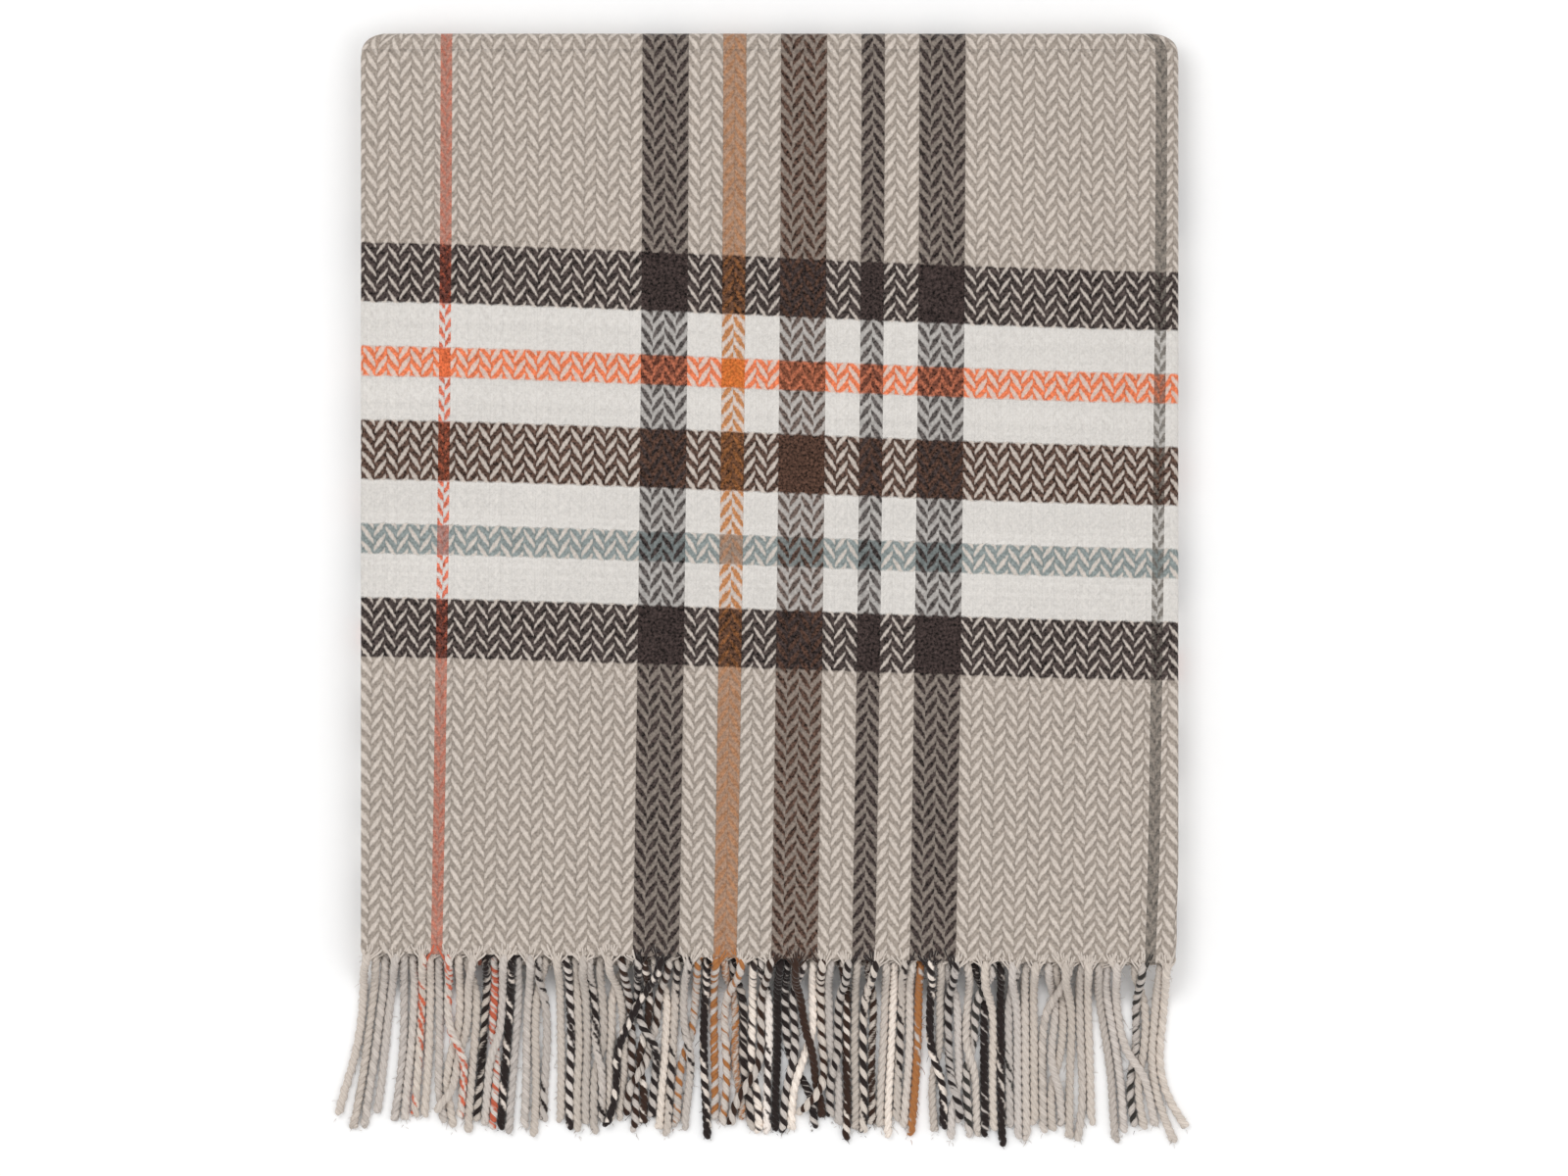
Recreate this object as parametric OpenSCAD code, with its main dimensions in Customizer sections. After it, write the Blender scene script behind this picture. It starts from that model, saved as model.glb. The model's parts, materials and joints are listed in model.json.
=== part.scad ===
// Plaid herringbone throw with a twisted fringe at both ends, folded flat.
// The cloth is one woven piece, folded in three across its width and then in three along its length.
// It is drawn as the panels and bends that its fold lines part it into, and its two fringes.
// Z is up and the throw lies on z = 0. The fringe in view points along -Y.

/* [Folded throw] */
// Width of the folded throw
fold_w = 460; // [400:5:520]
// Length from the rear crease to the front hem
fold_l = 520; // [460:5:600]
// Corner radius of the folded throw seen from above
corner_r = 11; // [6:1:16]

/* [Cloth] */
// Height that one layer of the cloth takes in the stack
layer_t = 3; // [2:0.25:3.5]
// Air between one third of the stack and the next
third_gap = 0.6; // [0.4:0.1:1.2]
// Width of the left side flap, folded behind the centre
left_flap_w = 430; // [340:5:440]
// Width of the right side flap, folded behind the left one
right_flap_w = 455; // [340:5:455]
// Length of the bottom third, from the front crease to its hidden hem
bottom_l = 400; // [300:5:400]
// How far the front crease stands out beyond the hem above it
front_crease_out = 5; // [2:0.5:6]

/* [Fringe] */
// Diameter of one twisted cord
cord_d = 4.6; // [3.5:0.1:4.8]
// Distance from one cord to the next in one layer
cord_pitch = 15; // [15:0.5:20]
// Level reach of the front fringe beyond the hem
front_reach = 96; // [70:2:120]
// Length of the hidden fringe under the stack
rear_reach = 100; // [70:2:104]

/* [Hidden] */
$fn = 64;

taupe = [0.66, 0.62, 0.57];
cream = [0.86, 0.83, 0.79];
charcoal = [0.24, 0.21, 0.20];
brown = [0.29, 0.22, 0.18];
ochre = [0.72, 0.49, 0.24];
coral = [0.80, 0.38, 0.24];
grey = [0.45, 0.47, 0.46];
// Warp stripes that run on into the fringe: the X where each begins and ends, and its colour.
stripes = [
  [-185, -178, coral], [-70, -44, charcoal], [-25, -11, ochre], [7, 33, brown],
  [52, 65, charcoal], [85, 111, charcoal], [217, 223, grey]
];

// Three layers make a third of the stack, and three thirds make the stack.
layers = 3;
third_t = layers * layer_t;
middle_z = third_t + third_gap;
top_z = 2 * middle_z;
stack_h = top_z + third_t;

// Each length crease bends round an axis midway between the two thirds it joins.
crease_r = third_t + third_gap / 2;
crease_clear = 0.2;
rear_y = (fold_l + front_reach) / 2;
hem_y = rear_y - fold_l;
front_axis_y = hem_y - front_crease_out + crease_r;
rear_axis_y = rear_y - crease_r;
front_axis_z = middle_z - third_gap / 2;
rear_axis_z = top_z - third_gap / 2;
panel_front_y = front_axis_y + crease_clear;
panel_rear_y = rear_axis_y - crease_clear;
bottom_hem_y = front_axis_y + bottom_l;

// A side bend runs round what lies between the centre layer and its flap.
left_x = -fold_w / 2;
right_x = fold_w / 2;
left_bend_r = layer_t;
right_bend_r = 1.5 * layer_t;

// Cords of the three layers lie side by side, a third of the pitch apart.
cord_r = cord_d / 2;
cord_margin = 8;
cord_count = floor((fold_w - 2 * cord_margin) / cord_pitch) + 1;
cord_span = (cord_count - 1) * cord_pitch;
cord_stagger = cord_pitch / layers;
tip_clear = 0.25;
tip_z = cord_r + tip_clear;

// The plan outline with its rounded corners, as tall as the stack.
module plan_prism() {
  front_y = hem_y - front_crease_out;
  linear_extrude(stack_h) {
    translate([left_x + corner_r, front_y])
      square([fold_w - 2 * corner_r, rear_y - front_y]);
    translate([left_x, front_y + corner_r])
      square([fold_w, rear_y - front_y - 2 * corner_r]);
    for (x = [left_x + corner_r, right_x - corner_r], y = [front_y + corner_r, rear_y - corner_r])
      translate([x, y])
        circle(corner_r);
  }
}

// Extrudes a profile drawn in X and Z from one Y to another.
module along_y(from_y, to_y) {
  translate([0, to_y, 0])
    rotate([90, 0, 0])
      linear_extrude(to_y - from_y)
        children();
}

// Turns a third over, so that its centre layer lies at the bottom.
module turned_over() {
  translate([0, 0, third_t])
    mirror([0, 0, 1])
      children();
}

// The half of a ring on the left of its centre, solid if the inner radius is 0.
module left_half_ring(outer_r, inner_r) {
  intersection() {
    difference() {
      circle(outer_r);
      if (inner_r > 0)
        circle(inner_r);
    }
    translate([-2 * outer_r, -outer_r])
      square([2 * outer_r, 2 * outer_r]);
  }
}

// The centre layer of a third, on top of its two flaps.
module centre_panel(from_y, to_y) {
  translate([left_x + left_bend_r, from_y, 2 * layer_t])
    cube([fold_w - left_bend_r - right_bend_r, to_y - from_y, layer_t]);
}

// The left flap and its bend up to the centre layer.
module left_flap(from_y, to_y) {
  along_y(from_y, to_y) {
    translate([left_x + left_bend_r, layer_t])
      square([left_flap_w - left_bend_r, layer_t]);
    translate([left_x + left_bend_r, 2 * layer_t])
      left_half_ring(left_bend_r, 0);
  }
}

// The right flap, lowest of the three, and its wider bend up to the centre layer.
module right_flap(from_y, to_y) {
  along_y(from_y, to_y) {
    translate([right_x - right_flap_w, 0])
      square([right_flap_w - right_bend_r, layer_t]);
    translate([right_x - right_bend_r, right_bend_r])
      mirror([1, 0])
        left_half_ring(right_bend_r, right_bend_r - layer_t);
  }
}

// One layer of a length crease, bending on the -Y side of its axis. Ring 0 is the innermost.
module crease_layer(ring, from_x, to_x) {
  inner_r = third_gap / 2 + ring * layer_t;
  translate([from_x, 0, 0])
    rotate([90, 0, 90])
      linear_extrude(to_x - from_x)
        intersection() {
          difference() {
            circle(inner_r + layer_t);
            circle(inner_r);
          }
          translate([-2 * crease_r, -crease_r])
            square([2 * crease_r + crease_clear, 2 * crease_r]);
        }
}

module front_crease(ring, from_x, to_x) {
  intersection() {
    translate([0, front_axis_y, front_axis_z])
      crease_layer(ring, from_x, to_x);
    plan_prism();
  }
}

module rear_crease(ring, from_x, to_x) {
  intersection() {
    translate([0, rear_axis_y, rear_axis_z])
      mirror([0, 1, 0])
        crease_layer(ring, from_x, to_x);
    plan_prism();
  }
}

// The colour of a cord is that of the warp stripe it hangs from, or cream between the stripes.
function cord_colour(x) =
  let (found = [for (stripe = stripes) if (x > stripe[0] && x < stripe[1]) stripe[2]])
  len(found) > 0 ? found[0] : cream;

// A row of straight cords that drop from the hem of one layer to the floor.
// Each is drawn too long at both ends, and a box trims it.
module front_cords(layer_z, shift) {
  drop = atan((layer_z - tip_z) / front_reach);
  trimmed_l = norm([front_reach, stack_h]) + 2 * cord_d;
  intersection() {
    for (i = [0 : cord_count - 1])
      color(cord_colour(shift + i * cord_pitch - cord_span / 2))
        translate([shift + i * cord_pitch - cord_span / 2, hem_y, layer_z])
          rotate([90 + drop, 0, 0])
            translate([0, 0, -cord_d])
              cylinder(h = trimmed_l, r = cord_r);
    translate([left_x, hem_y - front_reach, 0])
      cube([fold_w, front_reach, stack_h]);
  }
}

// A row of level cords under the stack.
module rear_cords(cord_z, shift) {
  for (i = [0 : cord_count - 1])
    translate([shift + i * cord_pitch - cord_span / 2, bottom_hem_y, cord_z])
      rotate([-90, 0, 0])
        cylinder(h = rear_reach, r = cord_r);
}

module top_centre_panel() {
  color(taupe)
    translate([0, 0, top_z])
      centre_panel(hem_y, panel_rear_y);
}

module top_left_flap() {
  color(cream)
    translate([0, 0, top_z])
      left_flap(hem_y, panel_rear_y);
}

module top_right_flap() {
  color(taupe)
    translate([0, 0, top_z])
      right_flap(hem_y, panel_rear_y);
}

module middle_centre_panel() {
  color(taupe)
    translate([0, 0, middle_z])
      turned_over()
        centre_panel(panel_front_y, panel_rear_y);
}

module middle_left_flap() {
  color(cream)
    translate([0, 0, middle_z])
      turned_over()
        left_flap(panel_front_y, panel_rear_y);
}

module middle_right_flap() {
  color(taupe)
    translate([0, 0, middle_z])
      turned_over()
        right_flap(panel_front_y, panel_rear_y);
}

module bottom_centre_panel() {
  color(taupe)
    centre_panel(panel_front_y, bottom_hem_y);
}

module bottom_left_flap() {
  color(cream)
    left_flap(panel_front_y, bottom_hem_y);
}

module bottom_right_flap() {
  color(taupe)
    right_flap(panel_front_y, bottom_hem_y);
}

// At the rear crease the centre layer bends outermost, and at the front crease innermost.
module rear_crease_centre() {
  color(taupe)
    rear_crease(2, left_x, right_x);
}

module rear_crease_left() {
  color(cream)
    rear_crease(1, left_x, left_x + left_flap_w);
}

module rear_crease_right() {
  color(taupe)
    rear_crease(0, right_x - right_flap_w, right_x);
}

module front_crease_centre() {
  color(taupe)
    front_crease(0, left_x, right_x);
}

module front_crease_left() {
  color(cream)
    front_crease(1, left_x, left_x + left_flap_w);
}

module front_crease_right() {
  color(charcoal)
    front_crease(2, right_x - right_flap_w, right_x);
}

module front_fringe_centre() {
  front_cords(top_z + 2.5 * layer_t, 0);
}

module front_fringe_left() {
  front_cords(top_z + 1.5 * layer_t, -cord_stagger);
}

module front_fringe_right() {
  front_cords(top_z + 0.5 * layer_t, cord_stagger);
}

module rear_fringe_centre() {
  color(cream)
    rear_cords(third_t - cord_r, 0);
}

module rear_fringe_left() {
  color(cream)
    rear_cords(third_t / 2, -cord_stagger);
}

module rear_fringe_right() {
  color(cream)
    rear_cords(cord_r, cord_stagger);
}

top_centre_panel();
top_left_flap();
top_right_flap();
middle_centre_panel();
middle_left_flap();
middle_right_flap();
bottom_centre_panel();
bottom_left_flap();
bottom_right_flap();
rear_crease_centre();
rear_crease_left();
rear_crease_right();
front_crease_centre();
front_crease_left();
front_crease_right();
front_fringe_centre();
front_fringe_left();
front_fringe_right();
rear_fringe_centre();
rear_fringe_left();
rear_fringe_right();
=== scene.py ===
"""The looks of a folded plaid throw: its cloth, its twisted fringe, the floor, the light and the camera.

The cloth is one sheet, described by two lengths on it: u across the warp and v along it from the front hem.
fold_across() folds it in three across its width, and fold_along() in three along its length.
"""
import json
import math

import bpy
import numpy as np
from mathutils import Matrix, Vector


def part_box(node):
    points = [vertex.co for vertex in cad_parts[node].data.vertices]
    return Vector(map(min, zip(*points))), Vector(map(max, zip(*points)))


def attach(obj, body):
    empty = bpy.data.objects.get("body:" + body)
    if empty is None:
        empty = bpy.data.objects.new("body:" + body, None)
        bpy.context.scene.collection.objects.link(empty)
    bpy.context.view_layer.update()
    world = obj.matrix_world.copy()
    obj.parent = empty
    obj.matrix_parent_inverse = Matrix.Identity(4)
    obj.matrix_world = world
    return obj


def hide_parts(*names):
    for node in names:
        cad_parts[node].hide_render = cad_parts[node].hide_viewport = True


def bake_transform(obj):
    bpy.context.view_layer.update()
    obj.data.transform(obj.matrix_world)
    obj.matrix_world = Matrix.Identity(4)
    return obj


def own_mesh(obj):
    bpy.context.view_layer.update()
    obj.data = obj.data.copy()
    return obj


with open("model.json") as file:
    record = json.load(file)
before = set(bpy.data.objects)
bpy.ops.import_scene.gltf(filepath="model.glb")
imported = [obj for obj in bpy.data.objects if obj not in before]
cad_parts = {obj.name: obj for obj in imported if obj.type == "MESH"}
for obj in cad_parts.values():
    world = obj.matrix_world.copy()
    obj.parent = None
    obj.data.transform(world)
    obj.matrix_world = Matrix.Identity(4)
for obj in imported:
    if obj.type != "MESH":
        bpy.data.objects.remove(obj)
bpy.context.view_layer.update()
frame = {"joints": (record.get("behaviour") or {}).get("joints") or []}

MM = 0.001


# ---------------------------------------------------------------- sizes, from the frame

def box(node):
    """A CAD node's lowest and highest corners."""
    low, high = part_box(node)
    return np.array(low), np.array(high)


def joint_point(name):
    return np.array(next(j["pos_m"] for j in frame["joints"] if j["name"] == name))


TOP_LOW, TOP_HIGH = box("top_centre_panel")
LAYER = TOP_HIGH[2] - TOP_LOW[2]
STACK_H = TOP_HIGH[2]
HEM_Y = TOP_LOW[1]
REAR_Y = box("rear_crease_centre")[1][1]
HALF_W = box("top_right_flap")[1][0]
LEFT_EDGE_X = box("top_left_flap")[1][0]
RIGHT_EDGE_X = box("top_right_flap")[0][0]
REAR_HEM_Y = box("bottom_centre_panel")[1][1]
FRONT_AXIS = joint_point("front_crease_fold")
REAR_AXIS = joint_point("rear_crease_fold")
THIRD = 3 * LAYER
SEAM = box("middle_centre_panel")[0][1] - FRONT_AXIS[1]
GAP = box("middle_right_flap")[0][2] - THIRD
CREASE_GAP = GAP / 2

CLOTH = 0.87 * LAYER
LEFT_BEND = LAYER / 2
RIGHT_BEND = LAYER
LEFT_FOLD_U = -HALF_W + LAYER
RIGHT_FOLD_U = HALF_W - 1.5 * LAYER
LEFT_ARC = math.pi * LEFT_BEND
RIGHT_ARC = math.pi * RIGHT_BEND
U_MIN = LEFT_FOLD_U - LEFT_ARC - (LEFT_EDGE_X - LEFT_FOLD_U)
U_MAX = RIGHT_FOLD_U + RIGHT_ARC + (RIGHT_FOLD_U - RIGHT_EDGE_X)

# Lengths along the sheet, measured on the centre layer, which is outermost at the rear crease.
CREASE_ARC = math.pi * (CREASE_GAP + 2.5 * LAYER)
V_REAR = REAR_AXIS[1] - HEM_Y
V_MIDDLE = V_REAR + CREASE_ARC
V_FRONT = V_MIDDLE + REAR_AXIS[1] - FRONT_AXIS[1]
V_BOTTOM = V_FRONT + CREASE_ARC
V_END = V_BOTTOM + REAR_HEM_Y - FRONT_AXIS[1]

# The weave: four warp ends make one leg of the herringbone, and its slant repeats every four picks.
WEAVE = 4
LEG = 6.476 * MM
END_PITCH = LEG / WEAVE
PICK_PITCH = 2.0617 * MM
# Where the coral line meets the hem, how far the hem and the bands slant, and how far the warp leans.
CORAL_X = -181.5 * MM
HEM_SLANT = 2.75 * MM
BAND_SLANT = 5.5 * MM
BAND_START = -0.6 * MM
BAND_FANNING = 0.0257
WARP_LEAN = 5.5 * MM
CORD_D = 5.1 * MM


def smoothstep(t):
    t = np.clip(t, 0, 1)
    return t * t * (3 - 2 * t)


def s_curve(x):
    """From 0 at the left edge to 1 at the right, flatter near both."""
    t = np.clip((x + HALF_W) / (2 * HALF_W), 0, 1)
    return 0.5 * t + 0.5 * smoothstep(t)


# ---------------------------------------------------------------- the folds

def fold_across(u, out):
    """Where a point of the sheet lies in the three-layer fold: x, and height within its third.
    out is how far it stands from the middle of the cloth, on its face side if positive."""
    u = np.asarray(u, float)
    left = LEFT_FOLD_U - u
    right = u - RIGHT_FOLD_U
    x = u.copy()
    h = np.full_like(u, 2.5 * LAYER) + out
    a = np.clip(left / LEFT_BEND, 0, math.pi)
    bend = (left > 0)
    x = np.where(bend, LEFT_FOLD_U - (LEFT_BEND + out) * np.sin(a) + np.maximum(left - LEFT_ARC, 0), x)
    h = np.where(bend, 2 * LAYER + (LEFT_BEND + out) * np.cos(a), h)
    a = np.clip(right / RIGHT_BEND, 0, math.pi)
    bend = (right > 0)
    x = np.where(bend, RIGHT_FOLD_U + (RIGHT_BEND + out) * np.sin(a) - np.maximum(right - RIGHT_ARC, 0), x)
    h = np.where(bend, 1.5 * LAYER + (RIGHT_BEND + out) * np.cos(a), h)
    return x, h


def fold_along(v, h):
    """y and z of a point at v along the sheet and height h within its third."""
    v = np.asarray(v, float)
    y = HEM_Y + v
    z = STACK_H - THIRD + h
    rear = CREASE_GAP + h
    front = CREASE_GAP + THIRD - h
    a = np.clip((v - V_REAR) / CREASE_ARC, 0, 1) * math.pi
    on = v > V_REAR
    y = np.where(on, REAR_AXIS[1] + rear * np.sin(a) - np.maximum(v - V_MIDDLE, 0), y)
    z = np.where(on, REAR_AXIS[2] + rear * np.cos(a), z)
    a = np.clip((v - V_FRONT) / CREASE_ARC, 0, 1) * math.pi
    on = v > V_FRONT
    y = np.where(on, FRONT_AXIS[1] - front * np.sin(a) + np.maximum(v - V_BOTTOM, 0), y)
    z = np.where(on, FRONT_AXIS[2] + front * np.cos(a), z)
    return y, z


def waves(x, y, seed, scale, count=7):
    """Gentle ripples from -1 to 1: a few long sine waves in seeded directions."""
    rng = np.random.default_rng(seed)
    total = np.zeros_like(x)
    for _ in range(count):
        turn = rng.uniform(0, 2 * math.pi)
        length = scale * rng.uniform(0.6, 1.6)
        phase = rng.uniform(0, 2 * math.pi)
        total += np.sin((x * math.cos(turn) + y * math.sin(turn)) * 2 * math.pi / length + phase)
    return total / math.sqrt(count) / 1.6


def settle(x, y, z, v):
    """Moves ideal folds to where soft cloth lies: rounded corners, a slanting hem and a faint unevenness."""
    corner = 13 * MM
    corner_zone = 34 * MM
    front_y = HEM_Y - 5 * MM
    lower_inset = 1.2 * MM
    hem_taper = 1.6 * MM
    taper_zone = 60 * MM
    from_end = np.minimum(REAR_Y - y, np.where(v > V_REAR, y - front_y, corner))
    inset = corner - np.sqrt(np.maximum(corner ** 2 - np.maximum(corner - from_end, 0) ** 2, 0))
    inset = inset + (1 - z / STACK_H) * lower_inset
    taper = hem_taper * smoothstep((HEM_Y + taper_zone - y) / taper_zone) * (x > 0)
    inset = inset + np.where(v < V_REAR, taper, 0)
    inner = HALF_W - corner_zone
    share = smoothstep((np.abs(x) - inner) / corner_zone)
    nx = x - np.sign(x) * inset * share
    slant = HEM_SLANT * (1 - 2 * s_curve(x)) * np.clip(1 - v / V_REAR, 0, 1)
    ny = y + np.where(v < V_REAR, slant, 0)
    # How much the layers bulge, as shares of the height, and how much the side edges sink.
    lift = 0.028 * waves(x, y, 5, 260 * MM) + 0.012 * waves(x, y, 9, 90 * MM)
    edge = 0.05 * smoothstep((np.abs(x) - HALF_W + 26 * MM) / (20 * MM))
    nz = z * (1 + lift - edge * smoothstep(z / STACK_H - 0.3))
    return nx, ny, nz


def sheet_point(u, v, out):
    x, h = fold_across(u, out)
    y, z = fold_along(v, h)
    return np.stack(settle(x, y, z, v), -1)


def weave_place(u, v):
    """Warp ends and weft picks at a point of the sheet, counted from the coral line and the front hem."""
    x, _ = fold_across(u, 0)
    lean = -WARP_LEAN * np.clip(1 - v / V_REAR, 0, 1) ** 1.7
    ends = (u - CORAL_X - lean) / END_PITCH
    slant = s_curve(x)
    pitch = PICK_PITCH * (1 - BAND_FANNING * (slant - 0.5))
    picks = (np.minimum(v, V_REAR) + BAND_SLANT * slant + BAND_START) / pitch
    picks = picks + np.maximum(v - V_REAR, 0) / PICK_PITCH
    return ends, picks


# ---------------------------------------------------------------- meshes

def new_object(name, points, faces, attributes, flat_from=None):
    """A smooth mesh object. attributes maps a name to a row per vertex. Faces from flat_from on stay flat."""
    mesh = bpy.data.meshes.new(name)
    mesh.vertices.add(len(points))
    mesh.vertices.foreach_set("co", np.ascontiguousarray(points, np.float32).ravel())
    faces = np.ascontiguousarray(faces, np.int32)
    mesh.loops.add(faces.size)
    mesh.loops.foreach_set("vertex_index", faces.ravel())
    mesh.polygons.add(len(faces))
    mesh.polygons.foreach_set("loop_start", np.arange(len(faces), dtype=np.int32) * faces.shape[1])
    smooth = np.ones(len(faces), bool)
    if flat_from is not None:
        smooth[flat_from:] = False
    mesh.polygons.foreach_set("use_smooth", smooth)
    for key, values in attributes.items():
        layer = mesh.attributes.new(key, "FLOAT_VECTOR", "POINT")
        layer.data.foreach_set("vector", np.ascontiguousarray(values, np.float32).ravel())
    mesh.update(calc_edges=True)
    mesh.validate()
    obj = bpy.data.objects.new(name, mesh)
    bpy.context.scene.collection.objects.link(obj)
    return obj


def grid_faces(rows, columns, start, flip):
    i, j = np.meshgrid(np.arange(rows - 1), np.arange(columns - 1), indexing="ij")
    a = (start + i * columns + j).ravel()
    quads = np.stack([a, a + columns, a + columns + 1, a + 1], -1)
    return quads[:, ::-1] if flip else quads


def cloth_piece(name, us, vs, left_free, right_free, front_free, rear_free):
    """A closed piece of thick cloth over the given u and v lines, with rounded free edges."""
    u, v = np.meshgrid(us, vs, indexing="ij")
    from_edge = np.full_like(u, 1.0)
    round_w = 1.6 * MM
    if left_free:
        from_edge = np.minimum(from_edge, u - us[0])
    if right_free:
        from_edge = np.minimum(from_edge, us[-1] - u)
    if front_free:
        from_edge = np.minimum(from_edge, v - vs[0])
    if rear_free:
        from_edge = np.minimum(from_edge, vs[-1] - v)
    t = np.clip(from_edge / round_w, 0, 1)
    half = CLOTH / 2 * (0.25 + 0.75 * np.sqrt(1 - (1 - t) ** 2))
    ends, picks = weave_place(u, v)
    face = sheet_point(u, v, half)
    back = sheet_point(u, v, -half)
    rows, columns = u.shape
    count = rows * columns
    points = np.concatenate([face.reshape(-1, 3), back.reshape(-1, 3)])
    side = np.ones(count)
    weave = np.concatenate([
        np.stack([ends.ravel(), picks.ravel(), side], -1),
        np.stack([ends.ravel(), picks.ravel(), -side], -1)])
    quads = [grid_faces(rows, columns, 0, True), grid_faces(rows, columns, count, False)]
    rim = []
    i = np.arange(rows - 1) * columns
    j = np.arange(columns - 1)
    rim.append(np.stack([i, i + columns, i + columns + count, i + count], -1))
    last = i + columns - 1
    rim.append(np.stack([last + columns, last, last + count, last + columns + count], -1))
    rim.append(np.stack([j + 1, j, j + count, j + 1 + count], -1))
    end = (rows - 1) * columns + j
    rim.append(np.stack([end, end + 1, end + 1 + count, end + count], -1))
    faces = np.concatenate(quads + rim)
    return new_object(name, points, faces, {"weave": weave}, flat_from=len(quads[0]) + len(quads[1]))


def lines(start, stop, step, tight_start=False, tight_stop=False):
    """Evenly spaced values, with closer ones beside an end that is rounded."""
    near = np.array([0.0, 0.2, 0.6, 1.1, 1.8, 3.0]) * MM
    low = start + near if tight_start else np.array([start])
    high = (stop - near)[::-1] if tight_stop else np.array([stop])
    count = max(2, int(round((high[0] - low[-1]) / step)) + 1)
    return np.concatenate([low[:-1], np.linspace(low[-1], high[0], count), high[1:]])


FLAT_STEP = 5 * MM
LEFT_BEND_STEPS = 12
RIGHT_BEND_STEPS = 16
U_LEFT_BEND = np.linspace(LEFT_FOLD_U - LEFT_ARC, LEFT_FOLD_U, LEFT_BEND_STEPS + 1)
U_RIGHT_BEND = np.linspace(RIGHT_FOLD_U, RIGHT_FOLD_U + RIGHT_ARC, RIGHT_BEND_STEPS + 1)
U_LEFT_FLAP = lines(U_MIN, U_LEFT_BEND[0], FLAT_STEP, tight_start=True)
U_CENTRE = lines(LEFT_FOLD_U, RIGHT_FOLD_U, FLAT_STEP)
U_RIGHT_FLAP = lines(U_RIGHT_BEND[-1], U_MAX, FLAT_STEP, tight_stop=True)
U_ALL = np.concatenate([U_LEFT_FLAP[:-1], U_LEFT_BEND[:-1], U_CENTRE[:-1], U_RIGHT_BEND[:-1], U_RIGHT_FLAP])
U_BREAKS = (U_LEFT_BEND[LEFT_BEND_STEPS // 2], U_RIGHT_BEND[RIGHT_BEND_STEPS // 2])
CREASE_LINES = 25


def make_thirds():
    """One piece for each third of the stack, folded across but flat along."""
    wanted = (
        ("top", 0, V_REAR - SEAM, True, False),
        ("middle", V_MIDDLE + SEAM, V_FRONT - SEAM, False, False),
        ("bottom", V_BOTTOM + SEAM, V_END, False, True))
    made = {}
    for name, v0, v1, front_free, rear_free in wanted:
        vs = lines(v0, v1, FLAT_STEP, tight_start=front_free, tight_stop=rear_free)
        piece = cloth_piece(f"{name}_third_cloth", U_ALL, vs, True, True, front_free, rear_free)
        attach(piece, f"{name}_third")
        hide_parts(f"{name}_centre_panel", f"{name}_left_flap", f"{name}_right_flap")
        made[name] = (piece, v1 - v0)
    return made


def make_creases():
    """The bends at the two length creases, a piece for each layer."""
    spans = {
        "left": U_ALL[U_ALL <= U_BREAKS[0]],
        "centre": U_ALL[(U_ALL >= U_BREAKS[0]) & (U_ALL <= U_BREAKS[1])],
        "right": U_ALL[U_ALL >= U_BREAKS[1]]}
    # Each layer's place from the inside of the bend, where the bend starts, and the bodies that it joins.
    rings = {
        "rear": ({"centre": 2, "left": 1, "right": 0}, V_REAR, REAR_AXIS, "top_third", 1),
        "front": ({"centre": 0, "left": 1, "right": 2}, V_FRONT, FRONT_AXIS, "bottom_third", -1)}
    made = []
    for crease, (ring_of, v0, axis, outer_third, side) in rings.items():
        for layer, us in spans.items():
            bent = np.linspace(v0, v0 + CREASE_ARC, CREASE_LINES)
            vs = np.concatenate([[bent[0] - SEAM], bent, [bent[-1] + SEAM]])
            piece = cloth_piece(
                f"{crease}_crease_{layer}_cloth", us, vs, layer == "left", layer == "right", False, False)
            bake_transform(piece)
            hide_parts(f"{crease}_crease_{layer}")
            made.append(piece)
    return made


# ---------------------------------------------------------------- colours of the yarns

def srgb(*parts):
    """A colour given in 0 to 255 display values, as linear light."""
    c = np.array(parts) / 255
    return tuple(np.where(c <= 0.04045, c / 12.92, ((c + 0.055) / 1.055) ** 2.4))


CREAM = srgb(212, 201, 191)
CORD_CREAM = srgb(213, 202, 192)
TAUPE = srgb(157, 146, 136)
CHARCOAL = srgb(56, 46, 44)
BROWN = srgb(76, 54, 44)
OCHRE = srgb(186, 116, 52)
CORAL = srgb(208, 92, 56)
ORANGE = srgb(225, 108, 54)
WHITE = srgb(211, 207, 202)
GREY = srgb(133, 142, 141)
STEEL = srgb(110, 104, 97)

# Stripes in legs of the herringbone from one coral line, and bands in picks from the front hem.
WARP_REPEAT = 62
WARP_STRIPES = ((17, 21, CHARCOAL), (24, 26, OCHRE), (29, 33, BROWN), (36, 38, CHARCOAL), (41, 45, CHARCOAL))
WEFT_REPEAT = 220
BAND_BLUR = 0.35
WEFT_BANDS = (
    (80, 96, CHARCOAL), (96, 108, WHITE), (108, 116, GREY), (116, 128, WHITE), (128, 144, BROWN),
    (144, 156, WHITE), (156, 164, ORANGE), (164, 176, WHITE), (176, 192, CHARCOAL))


def warp_colour(end, ground):
    """The colour of one warp end, counted from the coral line. Most are the ground's."""
    leg = end / WEAVE
    if abs((leg + WARP_REPEAT) % (2 * WARP_REPEAT) - WARP_REPEAT) < 0.5:
        return CORAL
    if abs(leg % (2 * WARP_REPEAT) - WARP_REPEAT) < 0.5:
        return STEEL
    for low, high, colour in WARP_STRIPES:
        if low <= leg % WARP_REPEAT < high:
            return colour
    return ground


# ---------------------------------------------------------------- the twisted fringe

CORD_PITCH = 15 * MM
CORD_R = CORD_D / 2
NODE_STEP = 4 * MM
ROOT_LEN = 5 * MM

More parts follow.
